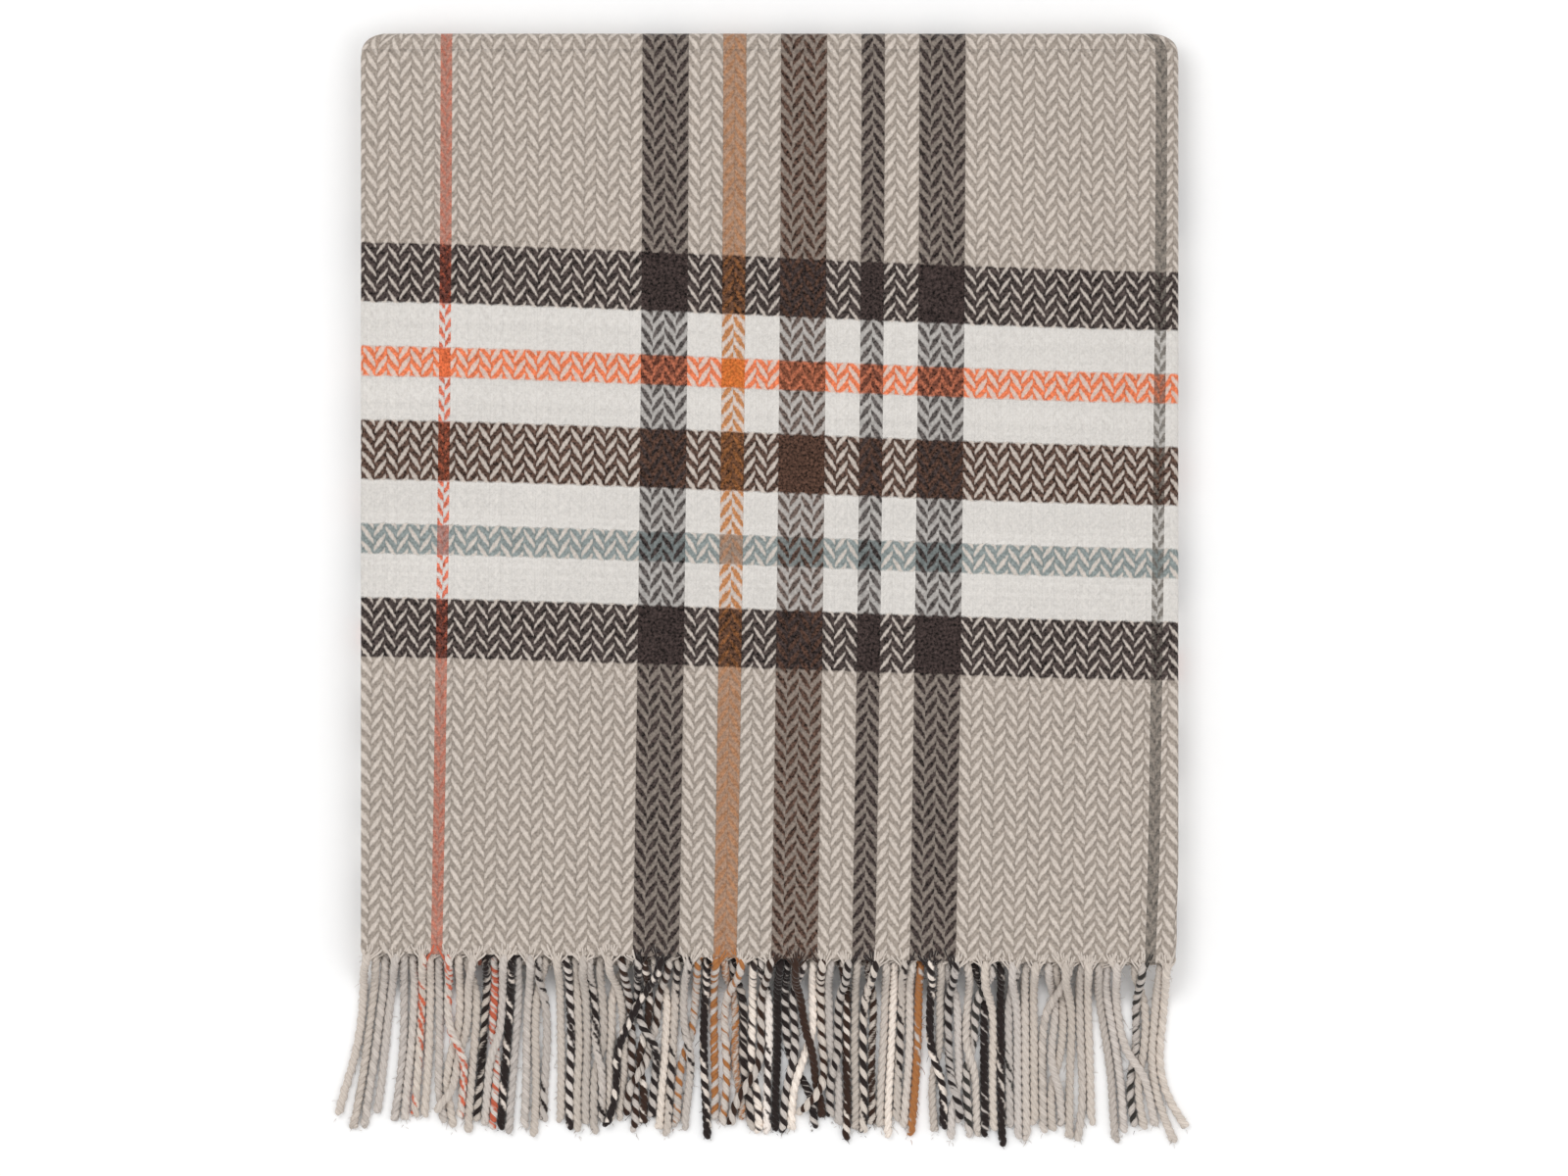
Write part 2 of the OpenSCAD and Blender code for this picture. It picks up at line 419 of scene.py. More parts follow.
# The front cords' and the rear cords' lengths, and where their strands leave the cloth.
FRONT_CORD_MM = (104, 113)
REAR_CORD_MM = (93, 98)
STRAND_START_MM = (0.5, 7.0)
# How the cords fan out from above, in degrees: all along the hem, near its two ends, and a few at random.
LEAN_SPREAD = 4.8
BEND_SPREAD = 9.0
FAN = (-3.0, -0.5, 1.0)
FAN_ZONE = 30 * MM
LEFT_FAN = -11.5
RIGHT_FAN = -7.0
RIGHT_FLARE = 80.0
CROSSING = (0, 0, 0, 0, 0, -6, 6)
# How far the front cords may stand past the stack's sides, and how far the rear ones stay within them.
FRONT_REACH = 20.5 * MM
REAR_INSET = 5 * MM

# How the cords are laid down. NEAR is how close two may lie, and PUSH how much of a clash each gives way.
LAY_STEPS = 150
PASSES = 6
PAIRS_EVERY = 5
FALL = 0.12 * MM
SPEED_KEPT = 0.92
SLIDE_KEPT = 0.7
STIFFNESS = 0.15
PUSH = 0.4
NEAR = CORD_D * 0.93
LOOK_OUT = NEAR * 1.8
TINY = 1e-6

# How a cord is twisted: the length of one turn, and the thickness and the stand-off of its two plies.
LEAD = (7.6 * MM, 9.8 * MM)
PLY_R = CORD_R * 0.66
PLY_ARM = CORD_R * 0.31
PLY_SIDES = 8
LOOSE_LEN = 7 * MM
MOST_CUT = 4.5 * MM
CUT_END = 0.72
# How often a cord differs from most.
OTHER_HAND_SHARE = 0.12
UNEVEN_SHARE = 0.3
# Painted highlight: a share of the cords, falling off towards the sides, is painted brighter by a gain,
# standing for cream cords that catch the light.
PAINTED_LIT_SHARE = 0.42
PAINTED_LIT_FALL = 0.7
PAINTED_LIT_GAIN = 1.45
ALL_DARK = 0.6
FLECKED_SHARE = 0.6
FLECK_GAIN = 1.2
# The warp ends' strands between the hem and the cords, and the loose fibres.
STRAND_POINTS = 8
STRAND_SIDES = 6
STRAND_R = (0.45 * MM, 0.7 * MM)
FIBRES = 24
FIBRE_PLACES = ("root", "root", "cord", "cord", "cord", "cord", "tip")
FIBRE_LEN = (2 * MM, 5 * MM)
FIBRE_R = np.array([0.16, 0.15, 0.13, 0.1, 0.06]) * MM
FIBRE_SIDES = 4
FIBRE_CLEAR = 0.2 * MM
TIP_LEN = 6 * MM


def lay_cords(roots, lengths, yaw, bend, flare, seed, ceiling):
    """Lets limp cords fall from the hem to the floor without passing through each other: the points of each.
    Each row of roots is where one leaves the hem, heading -Y turned by yaw towards +X. bend curves the whole
    cord in plan and flare its far half, and it keeps those curves as it falls."""
    nodes = int(round(lengths.max() / NODE_STEP)) + 1
    step = lengths / (nodes - 1)
    s = np.linspace(0, 1, nodes)
    rng = np.random.default_rng(seed)
    sway = rng.normal(0, 1, (len(roots), 3))
    turn = yaw[:, None] + bend[:, None] * (s - 0.3) + flare[:, None] * smoothstep((s - 0.4) / 0.55)
    turn += 0.09 * sway[:, :1] * np.sin(2 * math.pi * s + sway[:, 1:2] * 3)
    heading = np.stack([np.sin(turn), -np.cos(turn), np.zeros_like(turn)], -1)
    pos = roots[:, None] + np.concatenate(
        [np.zeros((len(roots), 1, 3)), np.cumsum(heading[:, :-1] * step[:, None, None], 1)], 1)
    fixed = pos[:, :2].copy()
    curved = (pos[:, :-2] + pos[:, 2:]) / 2 - pos[:, 1:-1]
    prev = pos.copy()
    index = np.repeat(np.arange(len(roots)), nodes)
    along = np.tile(np.arange(nodes), len(roots))
    pairs = None
    for turn_no in range(LAY_STEPS):
        move = (pos - prev) * SPEED_KEPT
        move[..., :2] *= SLIDE_KEPT
        prev = pos.copy()
        pos = pos + move
        pos[..., 2] -= FALL
        pos[:, :2] = fixed
        if turn_no % PAIRS_EVERY == 0:
            flat = pos.reshape(-1, 3)
            gap = np.linalg.norm(flat[:, None] - flat[None], axis=-1)
            a, b = np.nonzero(np.triu(gap < LOOK_OUT, 1))
            keep = (index[a] != index[b]) & (along[a] > 1) & (along[b] > 1)
            pairs = a[keep], b[keep]
        for _ in range(PASSES):
            middle = (pos[:, :-2] + pos[:, 2:]) / 2 - pos[:, 1:-1] - curved
            pos[:, 1:-1] += 2 * STIFFNESS * middle
            pos[:, :-2] -= STIFFNESS * middle
            pos[:, 2:] -= STIFFNESS * middle
            flat = pos.reshape(-1, 3)
            a, b = pairs
            apart = flat[a] - flat[b]
            dist = np.linalg.norm(apart, axis=-1)
            push = np.maximum(NEAR - dist, 0)[:, None] * apart / np.maximum(dist, TINY)[:, None] * PUSH
            np.add.at(flat, a, push)
            np.add.at(flat, b, -push)
            pos = flat.reshape(pos.shape)
            if ceiling is None:
                from_axis = pos[..., 1:] - FRONT_AXIS[1:]
                reach = np.linalg.norm(from_axis, axis=-1)
                out = CREASE_GAP + THIRD + CORD_R
                scale = np.where(reach < out, out / np.maximum(reach, TINY), 1)
                pos[..., 1:] = FRONT_AXIS[1:] + from_axis * scale[..., None]
            else:
                pos[..., 2] = np.minimum(pos[..., 2], ceiling - CORD_R)
            pos[..., 2] = np.maximum(pos[..., 2], CORD_R)
            pos[:, :2] = fixed
            for i in range(2, nodes):
                link = pos[:, i] - pos[:, i - 1]
                length = np.linalg.norm(link, axis=-1)
                pos[:, i] = pos[:, i - 1] + link * (step / length)[:, None]
    pos[:, 2:, 2] = np.maximum(pos[:, 2:, 2], CORD_R)
    return pos


def smooth_path(points, spacing):
    """A Catmull-Rom curve through the points, at about that spacing."""
    first = 2 * points[0] - points[1]
    last = 2 * points[-1] - points[-2]
    p = np.concatenate([[first], points, [last]])
    length = np.linalg.norm(np.diff(points, axis=0), axis=1).sum()
    count = int(round(length / spacing)) + 1
    t = np.linspace(0, len(points) - 1 - 1e-9, count)
    i = t.astype(int)
    f = (t - i)[:, None]
    a, b, c, d = p[i], p[i + 1], p[i + 2], p[i + 3]
    curve = (2 * a - 5 * b + 4 * c - d) * f ** 2 + (3 * b - a - 3 * c + d) * f ** 3
    return 0.5 * (2 * b + (c - a) * f + curve)


def unit(v):
    return v / np.maximum(np.linalg.norm(v, axis=-1, keepdims=True), 1e-9)


def cord_colour(colour):
    """A yarn's colour in the fringe, where dark ones look deeper, steel most, and vivid ones duller."""
    dark = 0.06
    steel = 0.2
    vivid = 2.5
    colour = np.array(colour)
    light = colour[1]
    if light < dark:
        return colour * 0.66
    if colour[0] > vivid * light:
        return colour * 0.88 + np.array(CORD_CREAM) * 0.06
    if light < steel:
        return colour * 0.3
    return colour


class Tubes:
    """Collects closed tubes of any number of sides into one mesh."""

    def __init__(self):
        self.points, self.faces, self.colours, self.lays, self.count = [], [], [], [], 0

    def add(self, line, radius, sides, colour, side_way=None, twist=None, seed=0.0):
        """A tube along line. colour is one colour, or one per point and side."""
        n = len(line)
        tangent = unit(np.gradient(line, axis=0))
        if side_way is None:
            side_way = np.array([1.0, 0.2, 0.1])
        out = unit(side_way - (side_way * tangent).sum(-1, keepdims=True) * tangent)
        other = np.cross(tangent, out)
        angle = np.arange(sides) * 2 * math.pi / sides
        radius = np.broadcast_to(radius, (n,))
        ring = (np.cos(angle)[None, :, None] * out[:, None] + np.sin(angle)[None, :, None] * other[:, None])
        points = line[:, None] + ring * radius[:, None, None]
        turned = angle[None] + (np.zeros((n, 1)) if twist is None else twist[:, None])
        lay = np.stack([np.cos(turned), np.sin(turned), np.full_like(turned, seed)], -1)
        colour = np.broadcast_to(np.asarray(colour, float), (n, sides, 3))
        i, j = np.meshgrid(np.arange(n - 1), np.arange(sides), indexing="ij")
        a = self.count + i * sides + j
        b = self.count + i * sides + (j + 1) % sides
        faces = np.stack([a, b, b + sides, a + sides], -1).reshape(-1, 4)
        caps = []
        for k in range(sides // 2 - 1):
            cap = np.array([k, k + 1, sides - 2 - k, sides - 1 - k])
            caps.append(self.count + cap[::-1])
            caps.append(self.count + (n - 1) * sides + cap)
        self.points.append(points.reshape(-1, 3))
        self.colours.append(colour.reshape(-1, 3))
        self.lays.append(lay.reshape(-1, 3))
        self.faces.append(np.concatenate([faces, caps]))
        self.count += n * sides

    def join(self, other, flip):
        """Adds another set of tubes, with its points times flip."""
        way = -1 if flip.min() < 0 else 1
        for points, faces in zip(other.points, other.faces):
            self.points.append(points * flip)
            self.faces.append(faces[:, ::way] + self.count)
        self.colours += other.colours
        self.lays += other.lays
        self.count += other.count

    def make(self, name):
        return new_object(name, np.concatenate(self.points), np.concatenate(self.faces),
                          {"yarn": np.concatenate(self.colours), "lay": np.concatenate(self.lays)})


def bezier(p0, p1, p2, p3, count):
    t = np.linspace(0, 1, count)[:, None]
    return (1 - t) ** 3 * p0 + 3 * t * (1 - t) ** 2 * p1 + 3 * t ** 2 * (1 - t) * p2 + t ** 3 * p3


def spin_ends(colours, x, lead, rng):
    """The ends' colours in the order that fills first one ply and then the other, and a ply's own lead."""
    # Painted highlight: some cords, more of them near the middle, are painted brighter as if lit.
    painted_lit = max(0, PAINTED_LIT_SHARE - PAINTED_LIT_FALL * abs(x) / HALF_W)
    tone = rng.normal(0.90, 0.05) * (PAINTED_LIT_GAIN if rng.random() < painted_lit else 1)
    tone = tone * (1 + rng.uniform(-0.02, 0.05) * np.array([-0.4, 0.1, 1.0]))
    # Cords spun with their dark and pale ends apart get a candy twist, and the others get flecks.
    mingled = rng.choice([0.0, 0.5, 1.5])
    spun = [tuple(cord_colour(c) * tone) for c in colours]
    spun = sorted(spun, key=lambda c: sum(c) + mingled * rng.normal())
    ply_lead = lead * rng.choice([1.15, 1.15, 9.0])
    # A wholly dark cord often holds two pale ends, which show as flecks.
    if max(map(sum, spun)) < ALL_DARK and rng.random() < FLECKED_SHARE:
        first = rng.integers(len(spun) - 1)
        spun[first] = spun[first + 1] = tuple(np.array(CORD_CREAM) * FLECK_GAIN)
        ply_lead = lead * rng.choice([0.7, 1.15, 1.5])
    return spun, ply_lead


def add_plies(tubes, line, axes, colours, rng, ring_step):
    """The two plies, twisted round each other along line. They are thin at the hem and loose at the tip."""
    _, side, up = axes
    s = np.arange(len(line)) * ring_step
    hand = -1 if rng.random() < OTHER_HAND_SHARE else 1
    lead = rng.uniform(*LEAD)
    wander = np.cumsum(rng.normal(0, 0.05, len(line)))
    angle = hand * (2 * math.pi * s / lead + wander) + rng.uniform(0, 2 * math.pi)
    split = len(colours) // 2
    if rng.random() < UNEVEN_SHARE:
        split += rng.integers(-1, 2)
    spun, ply_lead = spin_ends(colours, line[0, 0], lead, rng)
    loose = smoothstep((s - s[-1] + LOOSE_LEN) / LOOSE_LEN)
    start = smoothstep((s + 1.5 * MM) / ROOT_LEN)
    for ply, members in enumerate((spun[:split], spun[split:])):
        share = math.sqrt(len(members) / (len(colours) / 2))
        radius = PLY_R * share * (0.5 + 0.5 * start) * (1 + 0.04 * np.sin(s / (5 * MM) + ply * 2))
        radius = radius * (1 + 0.10 * loose)
        turn = angle + ply * math.pi
        outward = np.cos(turn)[:, None] * side + np.sin(turn)[:, None] * up
        arm = PLY_ARM * (2 - share) * (0.3 + 0.7 * start) * (1 + 0.35 * loose)
        middle = line + outward * arm[:, None]
        cut = len(line) - int(rng.uniform(0, MOST_CUT) / ring_step)
        middle, radius, outward = middle[:cut], radius[:cut].copy(), outward[:cut]
        radius[-1] *= CUT_END
        middle[:, 2] = np.maximum(middle[:, 2], radius)
        twist = -hand * 2 * math.pi * s[:cut] / ply_lead + rng.uniform(0, 6)
        turned = np.arange(PLY_SIDES)[None] / PLY_SIDES + twist[:, None] / (2 * math.pi)
        member = ((turned % 1) * len(members)).astype(int) % len(members)
        yarns = np.array(members)[member] * rng.uniform(0.95, 1.05)
        tubes.add(middle, radius, PLY_SIDES, yarns, side_way=outward, twist=twist, seed=rng.random())


def add_root_strands(tubes, line, axes, ends, rng, ring_step):
    """The warp ends, which run together from the hem into the cord."""
    tangent, side, up = axes
    join = int(ROOT_LEN / ring_step)
    for k, (colour, hem) in enumerate(ends):
        reach = join + int(rng.uniform(-2, 3) * MM / ring_step)
        across = (k + 0.5) / len(ends) - 0.5
        over = up[reach] * rng.uniform(0.3, 0.75) * CORD_R
        target = line[reach] + side[reach] * across * CORD_R * 1.5 + over
        pull = np.array([0, -1.0, 0]) * rng.uniform(1.0, 3.0) * MM
        strand = bezier(hem, hem + pull, target - tangent[reach] * 3 * MM, target, STRAND_POINTS)
        strand[1:-1, 2] += rng.uniform(0.1, 0.5) * MM
        thick = np.linspace(*STRAND_R, STRAND_POINTS) * rng.uniform(0.8, 1.2)
        strand[:, 2] = np.maximum(strand[:, 2], thick)
        tubes.add(strand, thick, STRAND_SIDES, cord_colour(colour) * 1.04, seed=rng.random())


def add_loose_fibres(tubes, line, axes, colours, rng, ring_step):
    """Fibres that stand off the root, the cord and its tip."""
    tangent, side, up = axes
    total = (len(line) - 1) * ring_step
    for _ in range(FIBRES):
        place = rng.choice(FIBRE_PLACES)
        if place == "root":
            at = int(rng.uniform(0, ROOT_LEN) / ring_step)
        elif place == "cord":
            at = int(rng.uniform(ROOT_LEN, total - TIP_LEN) / ring_step)
        else:
            at = len(line) - 1 - int(rng.uniform(0, TIP_LEN) / ring_step)
        colour = colours[rng.integers(len(colours))]
        way = unit(side[at] * rng.choice([-1, 1]) * rng.uniform(0.3, 1) + up[at] * rng.uniform(0, 0.5)
                   + tangent[at] * rng.uniform(0, 1.2))
        size = rng.uniform(*FIBRE_LEN) * (0.5 if place == "tip" else 1)
        start = line[at] + way * CORD_R * 0.5
        end = start + way * size + tangent[at] * size * rng.uniform(-0.3, 0.8)
        hair = bezier(start, start + way * size * 0.5, end - tangent[at] * size * 0.2, end, len(FIBRE_R))
        hair[:, 2] = np.maximum(hair[:, 2], FIBRE_CLEAR)
        tubes.add(hair, FIBRE_R, FIBRE_SIDES, colour, seed=rng.random())


def twist_cord(tubes, path, ends, rng, ring_step):
    """One two-ply cord along path, spun from the warp ends whose colours and hem points are given."""
    line = smooth_path(path, ring_step)
    tangent = unit(np.gradient(line, axis=0))
    side = unit(np.array([1.0, 0, 0]) - tangent[:, :1] * tangent)
    axes = tangent, side, np.cross(side, tangent)
    colours = [colour for colour, _ in ends]
    add_plies(tubes, line, axes, colours, rng, ring_step)
    add_root_strands(tubes, line, axes, ends, rng, ring_step)
    add_loose_fibres(tubes, line, axes, colours, rng, ring_step)


def cord_places():
    """Where each cord's ends lie on the sheet. The three layers' cords fall between one another's."""
    third = CORD_PITCH / 3
    first = LEFT_FOLD_U + 0.4 * third
    centre = np.arange(first, RIGHT_FOLD_U, CORD_PITCH)
    left = np.arange(first + third, LEFT_EDGE_X, CORD_PITCH)
    right = np.arange(first + 2 * third, RIGHT_FOLD_U, CORD_PITCH)
    left = LEFT_FOLD_U - LEFT_ARC - (left - LEFT_FOLD_U)
    right = RIGHT_FOLD_U + RIGHT_ARC + (RIGHT_FOLD_U - right)
    return np.sort(np.concatenate([left, centre, right]))


def fringe_lines(roots, rng, seed, ceiling):
    """The middle line of each cord of a hem that faces -Y. Under a ceiling they are short and straighter."""
    x = roots[:, 0]
    count = len(x)
    edge = np.clip((np.abs(x) - HALF_W + FAN_ZONE) / FAN_ZONE, 0, 1)
    lean = np.interp(x, [-HALF_W, 0, HALF_W], FAN) + rng.normal(0, LEAN_SPREAD, count) * (1 - 0.85 * edge)
    lean += rng.choice(CROSSING, count) * (1 - edge)
    lean += np.where(x < 0, LEFT_FAN * edge ** 2, RIGHT_FAN * edge)
    bend = rng.normal(0, BEND_SPREAD, count)
    flare = np.where(x < 0, 0, RIGHT_FLARE * edge)
    lengths = rng.uniform(*FRONT_CORD_MM, count) * MM
    limit = HALF_W + FRONT_REACH
    if ceiling is not None:
        lengths = rng.uniform(*REAR_CORD_MM, count) * MM
        lean = np.clip(0.4 * lean, -2.5, 2.5) - 4 * np.sign(x) * edge
        bend *= 0.3
        flare *= 0
        limit = HALF_W - REAR_INSET
    plan = [np.radians(turn) for turn in (lean, bend, flare)]
    paths = lay_cords(roots, lengths, *plan, seed, ceiling)
    paths[:, 1:, 0] = np.clip(paths[:, 1:, 0], -limit, limit)
    return paths


def make_fringe(end_name, body, v_hem, seed, ring_step, ceiling=None):
    """The cords of one hem, in three pieces: those of the left flap, the centre and the right flap.

    ring_step is how far apart the rings of points along a cord are.
    """
    rng = np.random.default_rng(seed)
    middle = cord_places()
    count = len(middle)
    middle += rng.normal(0, 0.7 * MM, count)
    bounds_u = np.concatenate([[U_MIN], (middle[1:] + middle[:-1]) / 2, [U_MAX]])
    # The rear cords are made as if their hem faced -Y too, and mirrored.
    inward = 1 if v_hem == 0 else -1
    flip = np.array([1, inward, 1])
    roots = sheet_point(middle, np.full(count, v_hem), np.zeros(count)) * flip
    paths = fringe_lines(roots, rng, seed + 1, ceiling)
    pieces = {}
    for k in range(count):
        layer = "left" if middle[k] < U_BREAKS[0] else "right" if middle[k] > U_BREAKS[1] else "centre"
        u_ends = np.arange(bounds_u[k] + END_PITCH / 2, bounds_u[k + 1], END_PITCH)
        inside = v_hem + inward * rng.uniform(*STRAND_START_MM, len(u_ends)) * MM
        out = CLOTH / 2 * (1 if layer == "centre" else -1)
        hem = sheet_point(u_ends, inside, np.full(len(u_ends), out)) * flip
        number, _ = weave_place(u_ends, inside)
        ends = [(warp_colour(math.floor(e) + 0.5, CORD_CREAM), h) for e, h in zip(number, hem)]
        cord = Tubes()
        twist_cord(cord, paths[k], ends, rng, ring_step)
        pieces.setdefault(layer, Tubes()).join(cord, flip)
    made = []
    for layer, tubes in pieces.items():
        piece = tubes.make(f"{end_name}_fringe_{layer}_cords")
        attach(piece, body)
        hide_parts(f"{end_name}_fringe_{layer}")
        made.append(piece)
    return made


# ---------------------------------------------------------------- materials

class Nodes:
    """Builds a material's nodes in the order that the values are worked out."""

    def __init__(self, name):
        self.material = bpy.data.materials.new(name)
        self.material.use_nodes = True
        self.tree = self.material.node_tree
        self.tree.nodes.clear()

    def node(self, kind, inputs, **settings):
        made = self.tree.nodes.new(kind)
        for key, value in settings.items():
            setattr(made, key, value)
        for key, value in inputs.items():
            if isinstance(value, bpy.types.NodeSocket):
                self.tree.links.new(value, made.inputs[key])
            elif value is not None:
                if made.inputs[key].type == "RGBA" and len(value) == 3:
                    value = (*value, 1)
                made.inputs[key].default_value = value
        return made

    def math(self, operation, a, b=None, c=None):
        return self.node("ShaderNodeMath", {0: a, 1: b, 2: c}, operation=operation).outputs[0]

    def noise(self, vector, scale, detail=2.0, roughness=0.5):
        made = self.node("ShaderNodeTexNoise", {"Vector": vector, "Scale": scale, "Detail": detail,
                                                "Roughness": roughness})
        return made.outputs["Fac"]

    def random(self, value):
        return self.node("ShaderNodeTexWhiteNoise", {"W": value}, noise_dimensions="1D").outputs["Value"]

    def vector(self, x, y, z):
        return self.node("ShaderNodeCombineXYZ", {0: x, 1: y, 2: z}).outputs[0]

    def mix(self, factor, a, b):
        made = self.node("ShaderNodeMix", {0: factor, 6: a, 7: b}, data_type="RGBA")
        return made.outputs[2]

    def scaled(self, colour, amount):
        grey = self.vector(amount, amount, amount)
        return self.node("ShaderNodeVectorMath", {0: colour, 1: grey}, operation="MULTIPLY").outputs[0]

    def strongest(self, colour):
        """The largest of a colour's three parts."""
        parts = self.node("ShaderNodeSeparateXYZ", {0: colour}).outputs
        return self.math("MAXIMUM", self.math("MAXIMUM", parts[0], parts[1]), parts[2])

    def step(self, value, low, high):
        """0 at low and below, 1 at high and above, smooth between."""
        made = self.node("ShaderNodeMapRange", {"Value": value, "From Min": low, "From Max": high},
                         interpolation_type="SMOOTHSTEP")
        return made.outputs[0]

    def between(self, value, low, high):
        inside = self.math("GREATER_THAN", value, low)
        return self.math("MULTIPLY", inside, self.math("LESS_THAN", value, high))

    def finish(self, colour, roughness, bump, sheen, sheen_roughness=0.45, sheen_tint=(1, 1, 1)):
        surface = self.node("ShaderNodeBsdfPrincipled", {
            "Base Color": colour, "Roughness": roughness, "Normal": bump, "Sheen Weight": sheen,
            "Sheen Roughness": sheen_roughness, "Sheen Tint": sheen_tint, "Specular IOR Level": 0.12})
        self.node("ShaderNodeOutputMaterial", {"Surface": surface.outputs[0]})
        return self.material

    def bump(self, height, distance, strength=1.0):
        return self.node("ShaderNodeBump", {"Height": height, "Distance": distance,
                                            "Strength": strength}).outputs[0]


def cloth_material():
    """A 2/2 herringbone twill of soft wool, in the plaid's warp stripes and weft bands."""
    n = Nodes("plaid_wool")
    place = n.node("ShaderNodeAttribute", {}, attribute_name="weave").outputs["Vector"]
    split = n.node("ShaderNodeSeparateXYZ", {0: place})
    here = n.node("ShaderNodeTexCoord", {}).outputs["Object"]
    true_end, true_pick, side = split.outputs
    wobble = n.math("MULTIPLY_ADD", n.noise(here, 55, 2), 0.9, -0.45)
    end = n.math("ADD", true_end, n.math("MULTIPLY", wobble, 0.35))
    wobble = n.noise(n.vector(true_end, true_pick, 7), 0.22, 2)
    pick = n.math("ADD", true_pick, n.math("MULTIPLY_ADD", wobble, 0.9, -0.45))
    fuzz = n.noise(here, 660, 3, 0.62)
    edge_fuzz = n.math("MULTIPLY_ADD", n.noise(here, 900, 2, 0.6), 0.7, -0.35)

    # Where the warp lies on the face: slanted lenses, mirrored in every other leg. depth is above 0 inside
    # them and below 0 where the weft lies on top.
    leg = n.math("FLOOR", n.math("DIVIDE", end, WEAVE))
    in_leg = n.math("SUBTRACT", end, n.math("MULTIPLY", leg, WEAVE))
    stepped = n.math("ADD", n.math("FLOOR", in_leg), 0.5)
    in_leg = n.math("ADD", n.math("MULTIPLY", in_leg, 0.75), n.math("MULTIPLY", stepped, 0.25))
    odd = n.math("FLOORED_MODULO", leg, 2)
    mirrored = n.math("SUBTRACT", WEAVE, in_leg)
    climb = n.math("ADD", n.math("MULTIPLY", mirrored, odd),
                   n.math("MULTIPLY", in_leg, n.math("SUBTRACT", 1, odd)))
    sway = n.math("SINE", n.math("MULTIPLY", climb, 2 * math.pi / WEAVE))
    climb = n.math("ADD", n.math("MULTIPLY_ADD", climb, 1.12, -0.24), n.math("MULTIPLY", sway, 0.16))
    phase = n.math("ADD", n.math("SUBTRACT", pick, climb), n.math("MULTIPLY", odd, WEAVE / 2))
    phase = n.math("FLOORED_MODULO", phase, WEAVE)
    from_middle = n.math("ABSOLUTE", n.math("SUBTRACT", phase, 1))
    from_middle = n.math("MINIMUM", from_middle, n.math("SUBTRACT", WEAVE, from_middle))
    belly = n.math("SINE", n.math("MULTIPLY", in_leg, math.pi / WEAVE))
    belly = n.math("SQRT", n.math("MAXIMUM", belly, 0.001))
    half_width = n.math("MULTIPLY_ADD", belly, 0.79, 0.25)
    depth = n.math("SUBTRACT", n.math("ADD", half_width, edge_fuzz), from_middle)
    depth = n.math("MULTIPLY", depth, n.math("SIGN", side))

    # Colours by end and by pick.
    end_no = n.math("ADD", n.math("FLOOR", n.math("MULTIPLY_ADD", edge_fuzz, 0.6, true_end)), 0.5)
    leg_no = n.math("DIVIDE", end_no, WEAVE)
    in_repeat = n.math("FLOORED_MODULO", leg_no, WARP_REPEAT)
    warp = n.mix(0.0, CREAM, CREAM)
    for low, high, colour in WARP_STRIPES:
        warp = n.mix(n.between(in_repeat, low, high), warp, colour)
    pair = n.math("FLOORED_MODULO", n.math("ADD", leg_no, WARP_REPEAT), 2 * WARP_REPEAT)
    coral_line = n.between(pair, WARP_REPEAT - 0.5, WARP_REPEAT + 0.5)
    warp = n.mix(coral_line, warp, CORAL)
    pair = n.math("FLOORED_MODULO", leg_no, 2 * WARP_REPEAT)
    steel_line = n.between(pair, WARP_REPEAT - 0.5, WARP_REPEAT + 0.5)
    warp = n.mix(steel_line, warp, STEEL)
    ochre_low, ochre_high, _ = WARP_STRIPES[1]
    lively = n.math("MAXIMUM", coral_line, steel_line)
    lively = n.math("MAXIMUM", lively, n.between(in_repeat, ochre_low, ochre_high))
    # The bands' edges are fuzzy and a little toothed, because each pick shows along the slant of the lenses.
    tooth = n.math("MULTIPLY_ADD", climb, -0.06, 0.12)
    pick_shift = n.math("ADD", n.math("ADD", true_pick, tooth), n.math("MULTIPLY", edge_fuzz, 0.9))
    in_bands = n.math("FLOORED_MODULO", pick_shift, WEFT_REPEAT)
    weft = n.mix(0.0, TAUPE, TAUPE)
    for low, _, colour in WEFT_BANDS:
        weft = n.mix(n.step(in_bands, low - BAND_BLUR, low + BAND_BLUR), weft, colour)
    bands_end = WEFT_BANDS[-1][1]
    weft = n.mix(n.step(in_bands, bands_end - BAND_BLUR, bands_end + BAND_BLUR), weft, TAUPE)

    # Each yarn is a little lighter or darker than its neighbours, and heathered along its length.
    warp_tone = n.math("MULTIPLY_ADD", n.random(end_no), 0.07, 0.965)
    along_warp = n.noise(n.vector(n.math("MULTIPLY", end_no, 3.7), n.math("MULTIPLY", pick, 0.6), 0), 1.0, 2)
    warp_tone = n.math("ADD", warp_tone, n.math("MULTIPLY_ADD", along_warp, 0.16, -0.08))
    pick_no = n.math("FLOOR", true_pick)
    weft_tone = n.math("MULTIPLY_ADD", n.random(pick_no), 0.10, 0.95)
    along_weft = n.noise(n.vector(n.math("MULTIPLY", end, 0.6), n.math("MULTIPLY", pick_no, 3.7), 4), 1.0, 2)
    weft_tone = n.math("ADD", weft_tone, n.math("MULTIPLY_ADD", along_weft, 0.16, -0.08))
